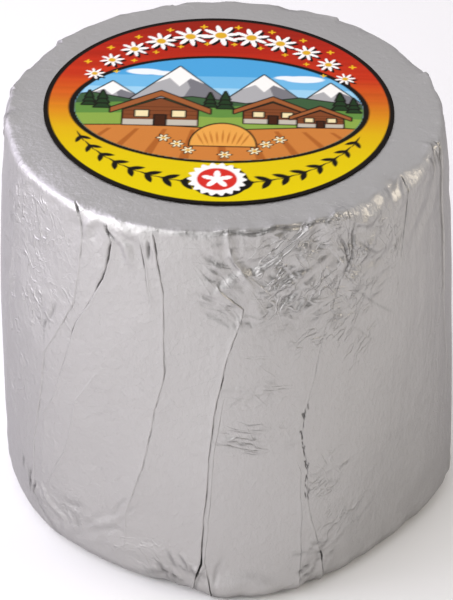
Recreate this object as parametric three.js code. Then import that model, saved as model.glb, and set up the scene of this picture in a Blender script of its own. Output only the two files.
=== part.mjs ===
// A whole cylindrical cheese, wrapped in one sheet of foil, with a round paper label on its flat top.
// Millimetres, +Z up. The cheese stands on z = 0 and the origin is under the middle of its outline.
// A bearing is an angle round the cheese in degrees: 0 is the front (-Y), 90 the right side (+X).

import * as THREE from 'three';

// The cheese under its foil
const HEIGHT = 100;
const BASE_RADIUS = 50.5;
const BELLY_RADIUS = 52.5; // pull of the side's curve, half-way up
const NECK_RADIUS = 48.9; // just under the rim
const BASE_ROUNDING = 5; // radius of the edge where the foil turns under
const RIM_HEIGHT = 3; // the rounded edge where the foil turns down from the top
const RIM_DEPTH = 1.8;

// A hand-made cheese isn't a true cylinder
const TOP_LEAN = -2.2; // the top sits this far to the left of the base
const TOP_OVAL = 1; // and is longer by this on a diagonal
const TOP_OVAL_BEARING = 135;
const BASE_LOBES = [
  { count: 2, size: 0.5, bearing: 60 },
  { count: 3, size: 0.6, bearing: 60 },
  { count: 4, size: 2, bearing: 0 },
  { count: 5, size: 0.9, bearing: 20 },
];
const RIM_CRUMPLES = [
  { count: 17, size: 0.2, bearing: 4 },
  { count: 29, size: 0.15, bearing: 9 },
];

// Where the spare foil is laid over in flat pleats. Each edge is a line of [height, bearing] points.
// A pleat lies towards the left (-1) or the right (1) of its edge and fades out over its reach.
const PLEAT_STEP = 0.8; // the layers of foil and the air under them
const PLEAT_REACH = 12;
const PLEAT_EDGE = 2; // the edge drops over this angle
const PLEAT_FADE = 6; // and runs out over this height
const PLEATS = [
  { side: -1, edge: [[96, -38], [72, -39], [54, -50], [27, -55]] },
  { side: -1, edge: [[96, -29], [81, -30], [54, -43], [38, -50]] },
  { side: -1, edge: [[96, -17], [62, -14], [40, -18], [22, -23]] },
  { side: -1, edge: [[76, 4], [53, -1], [29, -3], [4, -5]] },
  { side: -1, edge: [[57, 22], [45, 20], [29, 20], [6, 26]] },
  { side: 1, edge: [[96, 76], [60, 72], [10, 78]] },
  { side: -1, edge: [[96, 112], [50, 108], [6, 115]] },
  { side: 1, edge: [[96, 148], [58, 153], [12, 146]] },
  { side: -1, edge: [[96, -165], [48, -170], [6, -163]] },
  { side: 1, edge: [[96, -126], [60, -131], [10, -124]] },
  { side: -1, edge: [[96, -88], [52, -93], [8, -86]] },
];

// The label
const LABEL_RADIUS = 39;
const LABEL_THICKNESS = 0.3;
const LABEL_OFFSET = -1.2; // it was put on a little to the left of the top's middle
const GLUE_LINE = 0.2;

// How finely the round shapes are cut
const COLUMNS = 180;
const FOOT_DIVISIONS = 5;
const SIDE_DIVISIONS = 14;
const RIM_DIVISIONS = 3;
const LABEL_SEGMENTS = 96;

const foil = new THREE.MeshStandardMaterial({ color: '#c5c2c4', roughness: 0.4, metalness: 1 });
const paper = new THREE.MeshStandardMaterial({ color: '#e2741d', roughness: 0.55, metalness: 0 });

const radians = THREE.MathUtils.degToRad;

function turnBetween(from, to) {
  return THREE.MathUtils.euclideanModulo(to - from + 180, 360) - 180;
}

// One side of the cheese as seen in section, from the foot up: radius across, height up
function sideProfile() {
  const rimBottom = HEIGHT - RIM_HEIGHT;
  const footMiddle = BASE_RADIUS - BASE_ROUNDING;
  const rimMiddle = NECK_RADIUS - RIM_DEPTH;
  const turn = BASE_ROUNDING;
  const foot = new THREE.EllipseCurve(footMiddle, turn, turn, turn, -Math.PI / 2, 0);
  const side = new THREE.QuadraticBezierCurve(
    new THREE.Vector2(BASE_RADIUS, BASE_ROUNDING),
    new THREE.Vector2(BELLY_RADIUS, (BASE_ROUNDING + rimBottom) / 2),
    new THREE.Vector2(NECK_RADIUS, rimBottom),
  );
  const rim = new THREE.EllipseCurve(rimMiddle, rimBottom, RIM_DEPTH, RIM_HEIGHT, 0, Math.PI / 2);
  return [
    ...foot.getPoints(FOOT_DIVISIONS),
    ...side.getPoints(SIDE_DIVISIONS).slice(1),
    ...rim.getPoints(RIM_DIVISIONS).slice(1),
  ];
}

function lobes(list, bearing) {
  const swell = (lobe) => lobe.size * Math.cos(lobe.count * radians(bearing - lobe.bearing));
  return list.reduce((sum, lobe) => sum + swell(lobe), 0);
}

function edgeBearing(edge, height) {
  const next = edge.findIndex(([level]) => level <= height);
  if (next === 0) return edge[0][1];
  if (next < 0) return edge[edge.length - 1][1];
  const [above, below] = [edge[next - 1], edge[next]];
  return THREE.MathUtils.mapLinear(height, above[0], below[0], above[1], below[1]);
}

// How far the layers of one pleat stand off the cheese
function pleatRise(pleat, bearing, height) {
  const away = pleat.side * turnBetween(edgeBearing(pleat.edge, height), bearing);
  const across = THREE.MathUtils.smoothstep(away, -PLEAT_EDGE / 2, PLEAT_EDGE / 2);
  const fall = 1 - THREE.MathUtils.smoothstep(away, 0, PLEAT_REACH);
  const top = pleat.edge[0][0];
  const foot = pleat.edge[pleat.edge.length - 1][0];
  const starts = THREE.MathUtils.smoothstep(height, foot - PLEAT_FADE, foot);
  const ends = 1 - THREE.MathUtils.smoothstep(height, top, top + PLEAT_FADE);
  return PLEAT_STEP * across * fall * starts * ends;
}

// The point of the foil at a bearing, from its point on the profile
function foilPoint(profilePoint, bearing) {
  const height = profilePoint.y;
  const upward = height / HEIGHT;
  const rim = THREE.MathUtils.smoothstep(height, HEIGHT - 4 * RIM_HEIGHT, HEIGHT - RIM_HEIGHT);
  const foot = THREE.MathUtils.smoothstep(height, 0, BASE_ROUNDING);
  const oval = TOP_OVAL * upward * Math.cos(2 * radians(bearing - TOP_OVAL_BEARING));
  const uneven = oval + (1 - upward) * lobes(BASE_LOBES, bearing) + rim * lobes(RIM_CRUMPLES, bearing);
  const pleats = PLEATS.reduce((sum, pleat) => sum + pleatRise(pleat, bearing, height), 0);
  const radius = profilePoint.x + uneven + foot * pleats;
  const angle = radians(bearing - 90);
  return new THREE.Vector3(
    radius * Math.cos(angle) + TOP_LEAN * upward,
    radius * Math.sin(angle),
    height,
  );
}

// Rings of points from the foot's edge to the top's edge, closed by a fan at each end
function wrappedCheeseGeometry() {
  const profile = sideProfile();
  const bottomMiddle = profile.length * COLUMNS;
  const topMiddle = bottomMiddle + 1;
  const positions = [];
  const triangles = [];
  for (const point of profile) {
    for (let column = 0; column < COLUMNS; column += 1) {
      positions.push(...foilPoint(point, (column * 360) / COLUMNS).toArray());
    }
  }
  positions.push(0, 0, 0, TOP_LEAN, 0, HEIGHT);
  for (let column = 0; column < COLUMNS; column += 1) {
    const next = (column + 1) % COLUMNS;
    for (let row = 0; row + 1 < profile.length; row += 1) {
      const low = row * COLUMNS;
      const high = low + COLUMNS;
      triangles.push(low + column, low + next, high + next);
      triangles.push(low + column, high + next, high + column);
    }
    const topRing = (profile.length - 1) * COLUMNS;
    triangles.push(bottomMiddle, next, column);
    triangles.push(topMiddle, topRing + column, topRing + next);
  }
  const geometry = new THREE.BufferGeometry();
  geometry.setAttribute('position', new THREE.Float32BufferAttribute(positions, 3));
  geometry.setIndex(triangles);
  geometry.computeVertexNormals();
  return geometry;
}

function wrappedCheese() {
  const mesh = new THREE.Mesh(wrappedCheeseGeometry(), foil);
  mesh.name = 'foil_wrapped_cheese';
  return mesh;
}

function label() {
  const disc = new THREE.CylinderGeometry(LABEL_RADIUS, LABEL_RADIUS, LABEL_THICKNESS, LABEL_SEGMENTS);
  disc.rotateX(Math.PI / 2);
  const mesh = new THREE.Mesh(disc, paper);
  mesh.name = 'paper_label';
  mesh.position.set(TOP_LEAN + LABEL_OFFSET, 0, HEIGHT + GLUE_LINE + LABEL_THICKNESS / 2);
  return mesh;
}

const cheese = new THREE.Group();
cheese.add(wrappedCheese(), label());

// Stand the middle of the outline over the origin
const middle = new THREE.Box3().setFromObject(cheese).getCenter(new THREE.Vector3());
cheese.position.set(-middle.x, -middle.y, 0);

export default cheese;
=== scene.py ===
# %% [markdown]
# # A foil-wrapped cheese
#
# A whole cylindrical cheese stands upright in one sheet of silver foil. The sheet lies smooth over the
# top, is pleated down the side and is tucked under the base. A round printed paper label is stuck on top.
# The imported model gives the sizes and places, and this lesson gives it its folds, print and finishes.

# %% Load the frame
import math

import bmesh
import bpy
import numpy as np
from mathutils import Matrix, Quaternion, Vector


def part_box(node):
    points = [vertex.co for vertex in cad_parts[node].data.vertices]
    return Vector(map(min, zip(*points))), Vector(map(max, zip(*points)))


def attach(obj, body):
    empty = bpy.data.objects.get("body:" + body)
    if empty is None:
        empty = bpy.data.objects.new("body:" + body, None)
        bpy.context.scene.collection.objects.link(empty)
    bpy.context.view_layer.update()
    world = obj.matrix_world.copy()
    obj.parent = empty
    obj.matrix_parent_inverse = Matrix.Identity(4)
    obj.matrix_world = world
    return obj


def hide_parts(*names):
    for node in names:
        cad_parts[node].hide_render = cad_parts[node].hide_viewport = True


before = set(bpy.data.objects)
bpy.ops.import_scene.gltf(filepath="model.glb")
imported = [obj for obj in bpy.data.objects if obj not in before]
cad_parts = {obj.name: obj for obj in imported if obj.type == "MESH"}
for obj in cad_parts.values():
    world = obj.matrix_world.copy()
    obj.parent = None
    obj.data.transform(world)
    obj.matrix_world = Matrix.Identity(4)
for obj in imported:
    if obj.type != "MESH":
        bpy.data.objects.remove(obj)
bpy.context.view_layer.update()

MM = 0.001
foil_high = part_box("foil_wrapped_cheese")[1]
label_low, label_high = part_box("paper_label")


def in_mm(lengths):
    return [round(length / MM, 1) for length in lengths]


# %% [markdown]
# ## The blank of the wrap
#
# Under the foil is a slightly leaning cylinder with a soft rim and a rounded foot. A bevelled and
# subdivided cylinder would be as fine under the label as on the folds. So the skin starts as a plain
# closed tube whose rows are numbered from the top down. Each row is later laid on its place along the
# section of the cheese, many rows where the foil is crumpled and few under the label and under the foot.

# %% Sizes of the cheese, in millimetres
HEIGHT = foil_high.z / MM
BASE_RADIUS = 50.5
BELLY_RADIUS = 52.5  # pull of the side's curve, half-way up
NECK_RADIUS = 48.9  # just under the rim
MEAN_RADIUS = 51
FOOT_ROUNDING = 5.0
TOP_LEAN = -2.2  # the top sits this far to the left of the base
LABEL_OFFSET = -1.2  # and the label this far to the left of the top's middle
axis = Vector((label_low + label_high) / 2 / MM)
axis.x -= TOP_LEAN + LABEL_OFFSET
print("the axis stands at", round(axis.x, 2), round(axis.y, 2))

# %% A tube of numbered rows
COLUMNS = 512
STRETCHES = [6, 9, 70, 58, 36, 9, 4]  # rows on the top, rim, upper, middle and lower side, foot, underside
RIM, SIDE, FOOT, UNDERSIDE = 1, 2, 5, 6  # where on the way down these stretches start
ROWS = sum(STRETCHES)
RIM_FOOT = HEIGHT - 4
MIDDLE_TOP = 62
MIDDLE_FOOT = 33


def closed_tube(columns, rows):
    shape = bmesh.new()
    bmesh.ops.create_cone(
        shape, cap_ends=True, cap_tris=True, segments=columns, radius1=1, radius2=1, depth=rows,
    )
    upright = [edge for edge in shape.edges if abs(edge.verts[0].co.z - edge.verts[1].co.z) > 1]
    bmesh.ops.subdivide_edges(shape, edges=upright, cuts=rows - 1, use_grid_fill=True)
    bmesh.ops.recalc_face_normals(shape, faces=shape.faces[:])
    return shape


def mesh_points(mesh):
    coordinates = np.empty(len(mesh.vertices) * 3)
    mesh.vertices.foreach_get("co", coordinates)
    return coordinates.reshape(-1, 3)


tube = closed_tube(COLUMNS, ROWS)
wrap_mesh = bpy.data.meshes.new("foil_wrap")
tube.to_mesh(wrap_mesh)
tube.free()
places = mesh_points(wrap_mesh)
row_stops = np.cumsum([0] + STRETCHES)
way = np.interp(ROWS / 2 - places[:, 2], row_stops, range(len(row_stops)))
tube_turn = np.mod(np.degrees(np.arctan2(places[:, 0], -places[:, 1])) + 180, 360)
poles = np.hypot(places[:, 0], places[:, 1]) < 0.5
level_stops = [HEIGHT, RIM_FOOT, MIDDLE_TOP, MIDDLE_FOOT, FOOT_ROUNDING, 0]
level = np.interp(way, range(RIM, UNDERSIDE + 1), level_stops)
print("the tube has", len(wrap_mesh.vertices), "points and", len(wrap_mesh.polygons), "faces")

# %% [markdown]
# ## Noise that closes round the cheese
#
# Two kinds of unevenness are wanted everywhere: soft swells, and the small flat facets with sharp edges
# that foil keeps once it has been pushed about. Both come from random heights on a lattice. Swells join
# them smoothly, facets join them by flat triangles. The lattice closes round the cheese, so there is no
# seam.

# %% Swells and facets
ROUND = math.tau * MEAN_RADIUS  # once round the cheese, in millimetres
LATTICE_ROWS = 97
BEND = 0.6  # how far the facets' edges are bent, in facets
BEND_SIZE = 1.7  # size of those bends, in facets


def ease(part):
    return part * part * (3 - 2 * part)


def ramp(value, low, high):
    return ease(np.clip((value - low) / (high - low), 0, 1))


def lattice(turns, up, wide, tall, seed, slant=0):
    cells = max(3, round(ROUND / wide))
    heights = np.random.default_rng(seed).uniform(-1, 1, (cells, LATTICE_ROWS))
    across = turns * cells
    above = up / tall + turns * slant + LATTICE_ROWS
    column = np.floor(across).astype(int)
    row = np.floor(above).astype(int)

    def corner(right, top):
        laps = (column + right) // cells
        return heights[(column + right) % cells, (row + top - laps * slant) % LATTICE_ROWS]

    return across - column, above - row, corner


def swells(turns, up, wide, tall, seed):
    right, top, corner = lattice(turns, up, wide, tall, seed)
    right = ease(right)
    top = ease(top)
    low_edge = corner(0, 0) * (1 - right) + corner(1, 0) * right
    high_edge = corner(0, 1) * (1 - right) + corner(1, 1) * right
    return low_edge * (1 - top) + high_edge * top


def facets(turns, up, wide, tall, seed, slant=0):
    bends = [swells(turns, up, wide * BEND_SIZE, tall * BEND_SIZE, seed + more) for more in (1, 2)]
    bent_turns = turns + BEND * wide / ROUND * bends[0]
    bent_up = up + BEND * tall * bends[1]
    right, top, corner = lattice(bent_turns, bent_up, wide, tall, seed, slant)
    right_half = corner(0, 0) * (1 - right) + corner(1, 0) * (right - top) + corner(1, 1) * top
    left_half = corner(0, 0) * (1 - top) + corner(0, 1) * (top - right) + corner(1, 1) * right
    return np.where(right > top, right_half, left_half)


print("a sample of facets spans", np.ptp(facets(tube_turn / 360, level, 6, 6, 1)).round(2))

# %% [markdown]
# ## Where the foil is folded
#
# A flat sheet can't lie on a cylinder, so its spare width is laid over in long pleats that run from the
# rim to the foot. Each pleat is a line of a few points: height, bearing round the cheese (0 is the front,
# 90 the right) and how far its edge gapes, all listed and rounded. The columns of the skin are
# then slid round so that they run along these lines and crowd up to them, which keeps a fold as thin and
# sharp as foil folds are without an even finer skin everywhere.

# %% The pleats, in order round the cheese
PLEATS = [
    # over says which side lies on top: -1 the left, 1 the right. step is the layers' height in mm.
    # torn roughens the edge, and flat is how flat the panel to the right of it is.
    dict(over=1, step=0.4, line=[
        (2, -163, 0.3), (14, -164, 0.6), (22, -166.5, 0.2), (48, -170, 0.18), (66, -167, 0.2),
        (72, -165.5, 0.5), (86, -166.5, 0.3), (94, -165, 0.9), (98, -165, 0.3), (100, -165, 0)]),
    dict(over=-1, step=0.5, line=[
        (2, -124, 0.1), (18, -126, 0.15), (30, -130, 0.2), (60, -131, 0.2), (68, -128, 0.5),
        (80, -127.5, 0.3), (90, -125, 0.8), (98, -126, 0.25), (100, -126, 0)]),
    dict(over=-1, step=0.4, line=[
        (2, -98, 0.1), (24, -97, 0.15), (40, -100.5, 0.15), (52, -101, 0.15), (74, -98.5, 0.2),
        (84, -97, 0.5), (98, -98, 0.3), (100, -98, 0)]),
    dict(over=1, step=0.2, line=[
        (2, -80, 0), (30, -76, 0.04), (56, -70, 0.05), (98, -64, 0.1), (100, -64, 0)]),
    dict(over=-1, step=0.15, line=[
        (4, -60, 0), (28, -57.5, 0.14), (42, -53.5, 0.16), (56, -50.5, 0.22), (63, -46, 0.16),
        (74, -39.5, 0.16), (83, -37.5, 0.16), (92, -36.5, 0.2), (95, -37, 0.7), (97, -38, 1.3),
        (98.5, -39.3, 0.9), (99, -40, 0)]),
    dict(over=1, step=0.2, line=[
        (4, -57, 0), (38, -52.5, 0.14), (45, -48, 0.16), (57, -43.5, 0.16), (69, -39, 0.3), (75, -35, 0.2),
        (83, -30.5, 0.8), (89, -28.5, 1.3), (93, -28, 1.7), (95.5, -29, 1.3), (96.5, -29, 0)]),
    dict(over=1, step=0.2, line=[
        (4, -54.5, 0), (17, -53, 0.1), (22, -50, 0.14), (31, -45, 0.14), (39, -42.5, 0.14),
        (47, -40.5, 0.08), (60, -32, 0), (78, -18, 0), (81, -17.6, 0.12), (88, -18.8, 0.6),
        (91, -19.4, 1.1), (94, -20, 0.8), (96, -20.5, 0)]),
    dict(over=-1, step=0.2, line=[
        (2, -28, 0), (20, -26, 0.1), (28, -23, 0.18), (41, -19, 0.18), (52, -17, 0.16), (60, -14.5, 0.2),
        (63, -14, 0.2), (83, -14.5, 0.16), (87, -15, 0.3), (92, -16, 0.5), (95.5, -16.5, 0.5), (97, -17, 0)]),
    dict(over=-1, step=0.25, line=[
        (2, -8, 0.1), (5, -7.2, 0.2), (8, -6.6, 1.5), (11, -5.6, 1.5), (13, -5.4, 0.3), (24, -4.5, 0.25),
        (44, -3, 0.2), (53, -2, 0.4), (57, -1.2, 0.8), (60, -0.5, 0.5), (67, 1, 0.22), (78, 5, 0.2),
        (80, 5.3, 0.2), (82, 3, 0.3), (84.5, 0, 0.3), (86, -1, 0), (100, -3, 0)]),
    dict(over=-1, step=0.2, line=[
        (2, -3, 0.3), (8, -4, 0.25), (12, -4.6, 0.2), (14, -4.3, 0.1), (28, -2.9, 0.1), (44, -1.9, 0.1),
        (55, -0.2, 0.08), (60, 1, 0), (80, 7, 0), (83, 8.2, 0), (86.5, 7.4, 0.06), (92, 2.6, 0.06),
        (98, 2, 0.06), (100, 2, 0)]),
    dict(over=-1, step=0.2, line=[
        (2, 19.5, 0.2), (13, 20, 0.15), (36, 19.6, 0.1), (40, 18.5, 0), (100, 24, 0)]),
    dict(over=-1, step=0.2, torn=1.6, flat=0.25, line=[
        (4, 27, 0.7), (10, 26, 0.8), (13, 25, 0.4), (21, 23, 0.2), (28, 21.5, 0.16), (38, 21, 0.18),
        (47, 20, 0.22), (53, 21, 0.16), (58, 22.5, 0.16), (72, 26.5, 0.18), (83, 31.5, 0.35),
        (88, 34, 0.15), (98, 34, 0.4), (100, 34, 0)]),
    dict(over=1, step=0.1, flat=0.15, line=[
        (2, 48, 0), (32, 48, 0), (69, 49.5, 0.05), (86, 54, 0.16), (98, 58, 0.3), (100, 58, 0)]),
    dict(over=1, step=0.4, line=[
        (2, 85, 0.1), (13, 84, 0), (60, 74, 0.08), (95, 76, 0.4), (100, 77, 0)]),
    dict(over=-1, step=0.5, line=[
        (2, 115, 0.3), (10, 114, 0.7), (20, 112, 0.2), (50, 108, 0.25), (58, 109.5, 0.4), (76, 110, 0.2),
        (90, 112.5, 0.7), (98, 112, 0.3), (100, 112, 0)]),
    dict(over=1, step=0.5, line=[
        (2, 146, 0.2), (24, 147, 0.2), (36, 151, 0.3), (58, 153, 0.15), (76, 150, 0.2), (86, 149.5, 0.6),
        (98, 148, 0.3), (100, 148, 0)]),
]
print(len(PLEATS), "pleats of", sum(len(pleat["line"]) for pleat in PLEATS), "points")

# %% Lines that wander and gape unevenly
BEARING, GAPE = 1, 2  # their places in a pleat's points
SWAYS = [(0.2, 6, 100), (0.08, 2.2, 200)]  # wander in degrees, height between kinks in mm, seed
TEARS = [(0.6, 9, 3, 63), (0.4, 9, 1.5, 64)]  # share, width and height in mm, seed
MEAN_TEAR = 0.75
FULL_STEP_GAPE = 0.2  # an edge that gapes less steps less too


def along(pleat, item, shift=0):
    points = np.array(pleat["line"])
    return np.interp(level + shift, points[:, 0], points[:, item])


def kinked(spacing, seed):
    kinks = np.arange(-spacing, HEIGHT + 2 * spacing, spacing)
    return np.interp(level, kinks, np.random.default_rng(seed).uniform(-1, 1, len(kinks)))


pleat_lines = []
pleat_gapes = []
pleat_steps = []
for place, pleat in enumerate(PLEATS):
    own = np.full_like(level, place / len(PLEATS))
    sway = sum(size * kinked(spacing, seed + place) for size, spacing, seed in SWAYS)
    torn = sum(size * swells(own, level, wide, tall, seed) for size, wide, tall, seed in TEARS)
    gape = along(pleat, GAPE)
    pleat_lines.append(along(pleat, BEARING) + sway)
    pleat_gapes.append(gape * np.clip(MEAN_TEAR + pleat.get("torn", 1) * torn, 0.2, 2))
    pleat_steps.append(pleat["step"] * np.minimum(gape / FULL_STEP_GAPE, 1))
panel_edges = np.array(pleat_lines + [pleat_lines[0] + 360])
panel_widths = np.diff(panel_edges, axis=0)
print("the narrowest panel between pleats is", round(float(panel_widths.min()), 2), "degrees wide")

# %% Slide the columns onto the pleats
CROWDING = 0.2  # spacing of the columns beside a pleat, against an even spacing
BACK_SHARE = 0.3  # columns at the back, against the front
BUSIEST = 10  # the bearing with the finest crumples
WIDTH_POWER = 0.7  # below 1, narrow panels get more than their share of columns
panel_middles = (panel_edges[:-1] + panel_edges[1:]).mean(axis=1) / 2
facing_front = ((1 + np.cos(np.radians(panel_middles - BUSIEST))) / 2) ** 2
share = panel_widths.mean(axis=1) ** WIDTH_POWER * (BACK_SHARE + (1 - BACK_SHARE) * facing_front)
knots = np.concatenate([[0], np.cumsum(share)]) / share.sum() * 360
panel = np.clip(np.searchsorted(knots, tube_turn, side="right") - 1, 0, len(PLEATS) - 1)
part_way = (tube_turn - knots[panel]) / (knots[panel + 1] - knots[panel])
slid = CROWDING * part_way + (1 - CROWDING) * ease(part_way)
every = np.arange(len(tube_turn))
left_edge = panel_edges[panel, every]
right_edge = panel_edges[panel + 1, every]
bearing = left_edge + (right_edge - left_edge) * slid
turns = bearing / 360 + 0.5
print("columns per panel:", [round(gap / 360 * COLUMNS) for gap in np.diff(knots)])

# %% [markdown]
# ## How far the foil stands off the cheese
#
# Everything that lifts the foil is added up as a height in millimetres: the flat panels between pleats,
# the step and the gaping slot at each pleat, then the crumpling, patch by patch. A displacement texture
# could do it, but sums of named shapes put each fold where it belongs. Where a slot is deep, the
# painted_fold_shade value remembers it, and the foil's colour is painted darker there as shade, because no
# light gets in between the layers.

# %% Flat panels
EDGE_SHIFTS = range(-15, 16, 3)  # a panel's edges are averaged over these heights
SHOW_SHIFTS = range(-9, 10, 3)
FULL_SHOW_GAPE = 0.12  # a pleat that gapes this much bounds a flat panel fully
FLATNESS = 0.7
LEAST_FLAT = 0.2


def softened(item, shifts, most=math.inf):
    edges = [
        np.mean([np.minimum(along(pleat, item, shift), most) for shift in shifts], axis=0)
        for pleat in PLEATS
    ]
    return np.array(edges + edges[:1])


soft_edges = softened(BEARING, EDGE_SHIFTS)
soft_edges[-1] += 360
half_panel = np.radians(soft_edges[panel + 1, every] - soft_edges[panel, every]) / 2
from_middle = half_panel * (2 * slid - 1)
shows = softened(GAPE, SHOW_SHIFTS, FULL_SHOW_GAPE) / FULL_SHOW_GAPE
both_show = np.minimum(shows[panel, every], shows[panel + 1, every])
flatness = np.array([pleat.get("flat", FLATNESS) for pleat in PLEATS])[panel]
narrow = ramp(-np.degrees(half_panel), -20, -9)
flat_share = flatness * (LEAST_FLAT + (1 - LEAST_FLAT) * both_show) * narrow
body_radius = np.interp(level, [0, HEIGHT / 2, HEIGHT], [BASE_RADIUS, MEAN_RADIUS, NECK_RADIUS])
lift = flat_share * body_radius * (np.cos(half_panel) / np.cos(from_middle) - 1)
print("flat panels dip by up to", -lift.min().round(2), "mm")

# %% Steps and slots
LAYER_REACH = 6.0  # how far from its edge an upper layer lies down again
STEP_EDGE = 0.05
LIP = 0.35  # the rolled edge of an upper layer, as a share of its step
LIP_PLACE = 0.3
LIP_WIDTH = 0.22
SLOT_HALF_WIDTH = 0.04
SLOT_OPENING = 0.1  # how much wider a slot is for each millimetre that it gapes
SLOT_DEPTH = 1.2


def hump(away, width):
    return np.exp(-((away / width) ** 2))


def degrees_past(middle):
    return (bearing - middle + 180) % 360 - 180


painted_fold_shade = np.zeros_like(lift)
for pleat, line, gape, step in zip(PLEATS, pleat_lines, pleat_gapes, pleat_steps):
    upper = np.radians(degrees_past(line)) * body_radius * pleat["over"]
    half_width = SLOT_HALF_WIDTH + SLOT_OPENING * gape
    slot = hump(upper + half_width, half_width)
    lift += step * ramp(upper, -STEP_EDGE, STEP_EDGE) * np.exp(-np.abs(upper) / LAYER_REACH)
    lift += LIP * step * hump(upper - LIP_PLACE, LIP_WIDTH)
    lift -= SLOT_DEPTH * gape * slot
    # Painted shade: the foil's colour is darkened in the slot, where shade falls between the layers
    painted_fold_shade = np.maximum(painted_fold_shade, ramp(gape, 0.02, 0.55) * slot)
print("steps and slots reach from", lift.min().round(2), "to", lift.max().round(2), "mm")

# %% [markdown]
# ## Crumpled patches
#
# Foil crumples where it was pushed together: under the rim at the right, at the foot and beside some
# pleats. Each patch is an oval on the side with its own size of facets. A patch also gives the strength
# of the finest facets and scratches, which are too small for the mesh and belong to the foil's finish.

# %% Facets, patch by patch
FACET_PATCHES = [
    # bearing, height, half widths in degrees and mm; facet width and height, lift, slant, seed
    (22, 90, 34, 20, 4.6, 3.0, 0.5, 4, 11),
    (24, 88, 30, 16, 2.3, 1.8, 0.18, -5, 12),
    (-60, 74, 18, 28, 5.0, 7.0, 0.25, 9, 13),
    (-50, 8, 18, 12, 9.0, 6.0, 0.15, 3, 18),
    (-20, 6, 22, 10, 7.0, 5.0, 0.18, 4, 19),
    (24, 8, 8, 9, 4.0, 3.0, 0.3, 4, 20),
    (48, 98, 18, 5, 4.0, 3.0, 0.5, 4, 26),
    (90, 88, 40, 16, 6.0, 6.0, 0.3, -4, 21),
    (180, 86, 60, 18, 6.0, 6.0, 0.4, 4, 22),
    (-110, 84, 34, 20, 6.0, 7.0, 0.35, 5, 23),
    (150, 12, 60, 14, 6.0, 5.0, 0.35, 3, 24),
    (-110, 12, 40, 14, 6.0, 5.0, 0.4, 2, 25),
]
FAINT_CRUMPLE = 0.07
FULL_CRUMPLE_LIFT = 1.1
TOP_CRUMPLE = 0.4  # what is left of the crumple on the top


def inside(middle, height, half_turn, half_tall):
    across = np.abs(degrees_past(middle)) / half_turn
    up = np.abs(level - height) / half_tall
    return ramp(-np.hypot(across, up), -1.1, -0.5)


crumple = np.full_like(lift, FAINT_CRUMPLE)
for *oval_place, wide, tall, size, slant, seed in FACET_PATCHES:
    patch = inside(*oval_place)
    lift += size * patch * facets(turns, level, wide, tall, seed, slant)
    crumple = np.maximum(crumple, (size / FULL_CRUMPLE_LIFT) ** 2 * patch)
crumple *= TOP_CRUMPLE + (1 - TOP_CRUMPLE) * ramp(way, 0.7, 1.2)
print("with facets the foil stands", lift.min().round(2), "to", lift.max().round(2), "mm off")

# %% Where the scratches lie
STROKE_KINDS = ["rising", "falling", "lying"]
STROKE_PATCHES = [
    # bearing, height, half widths in degrees and mm; strength of strokes that rise, fall and lie level
    (28, 87, 28, 15, 1.6, 0.8, 0.5), (30, 70, 16, 14, 0.8, 0.2, 0), (8, 61, 10, 8, 0.2, 0.3, 0.9),
    (9, 47, 13, 6, 0.2, 0.2, 1.0), (27, 33, 7, 8, 0.8, 0.5, 1.0), (34, 20, 10, 9, 1.1, 0, 0.1),
    (-54, 78, 18, 22, 0.4, 1.5, 0.3), (-70, 45, 14, 30, 0.1, 1.3, 0), (-52, 12, 20, 14, 0.35, 0.3, 0.2),
    (-20, 8, 20, 10, 0.3, 0.7, 0.3), (-2, 84, 9, 12, 0.2, 0.3, 0.4), (180, 82, 80, 18, 1.0, 0.9, 0.5),
    (-110, 60, 34, 50, 0.4, 0.6, 0.2), (110, 80, 40, 20, 0.8, 0.6, 0.3), (80, 40, 20, 50, 0.4, 0.1, 0),
    (160, 10, 70, 13, 0.7, 0.8, 0.4), (-150, 46, 30, 14, 0.3, 0.4, 0.9), (130, 55, 14, 12, 0.5, 0.2, 0.7),
]
FAINT_STROKE = 0.04
strokes = np.full((len(STROKE_KINDS), len(lift)), FAINT_STROKE)
for *oval_place, rise, fall, lie in STROKE_PATCHES:
    strokes = np.maximum(strokes, np.outer([rise, fall, lie], inside(*oval_place)))
strokes *= ramp(way, 0.9, 1.5)
print("mean strength of the strokes:", dict(zip(STROKE_KINDS, strokes.mean(axis=1).round(2))))

# %% Bulges and a little unevenness everywhere
BULGES = [
    # bearing, height, half widths in degrees and mm, size
    (85, 75, 40, 25, 0.3), (-88, 99, 7, 5, 0.1), (-50, 4, 28, 30, 0.4), (5, 2, 11, 8, 1.0),
    (-68, 3, 16, 12, -0.5), (-13, 2, 6, 8, -0.6), (27, 3, 8, 10, -0.3), (72, 4, 16, 12, -0.4),
    (140, 98, 40, 12, -0.6),
]
DIMPLES = (6, 9, 31, 2)  # facet width and height in mm, seed, slant
UPRIGHT_STREAKS = (1.6, 24, 32, 1)
BROAD_SWELLS = (22, 30, 33)  # width and height in mm, seed
DIMPLE_LIFT = 0.05
SWELL_LIFT = 0.3
STREAK_LIFT = 0.03
RIGHT_STREAK_LIFT = 0.05  # the foil has more upright streaks at the right
RIGHT_STREAKS = (76, 50, 26, 60)  # bearing, height, half widths in degrees and mm
on_side = ramp(level, 0, 6) * ramp(-level, -HEIGHT, -HEIGHT + 4)
streak_lift = (STREAK_LIFT + RIGHT_STREAK_LIFT * inside(*RIGHT_STREAKS)) * ramp(-level, -95, -84)
lift += on_side * DIMPLE_LIFT * facets(turns, level, *DIMPLES)
lift += on_side * streak_lift * facets(turns, level, *UPRIGHT_STREAKS)
lift += on_side * SWELL_LIFT * swells(turns, level, *BROAD_SWELLS)
for *oval_place, size in BULGES:
    lift += size * inside(*oval_place)
print("with bulges the foil stands", lift.min().round(2), "to", lift.max().round(2), "mm off")

# %% [markdown]
# ## Wrinkles and creases
#
# A wrinkle is a thin ridge with a valley beside it, a few millimetres long. Wrinkles come in loose
# bundles that share a direction, so they are scattered by seeded chance inside an oval. A crease is one
# sharp fold that can be seen on its own, so each has a place of its own, as a line of two to six points.

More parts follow.
